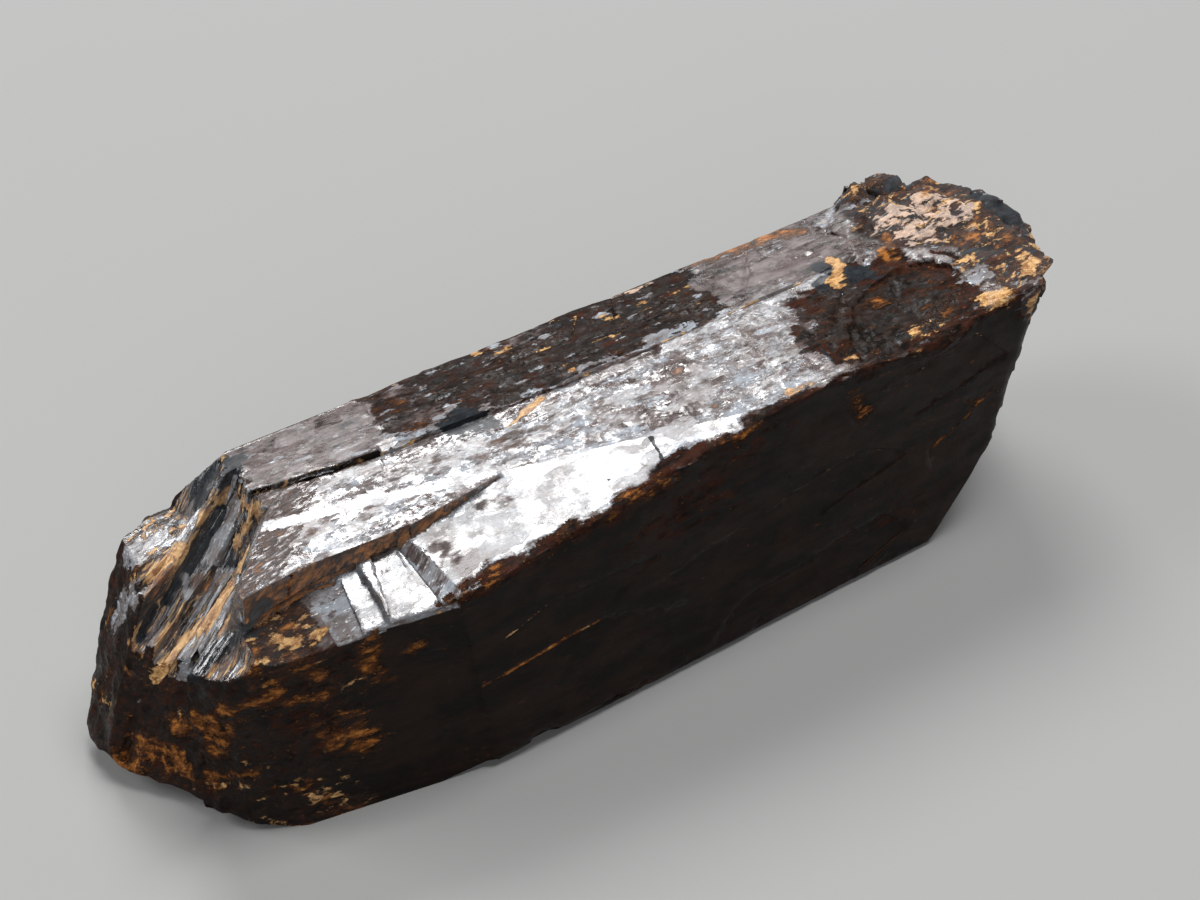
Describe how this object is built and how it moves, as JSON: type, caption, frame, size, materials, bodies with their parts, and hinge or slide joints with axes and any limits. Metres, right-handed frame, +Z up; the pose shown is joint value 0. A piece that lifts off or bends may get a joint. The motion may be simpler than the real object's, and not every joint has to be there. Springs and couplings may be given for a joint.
{
  "type": "xenotime crystal",
  "caption": "A loose, stout brown xenotime prism with a splintered end, cleavage steps beside its top edge and crust fused to its far end.",
  "frame": {"origin": "centre of the bounding box's base, on the face that the crystal lies on", "axes": "+X along the prism from the splintered end to the crusted end, +Y towards the back prism face, +Z up from the face that it lies on"},
  "size_m": [0.0276, 0.0072, 0.0073],
  "materials": {
    "crystal": "glassy to resinous dark brown faces, with tan and orange-brown crust in the cracks and over the far end"
  },
  "bodies": {
    "root": {"xenotime_crystal": "crystal"}
  },
  "joints": []
}
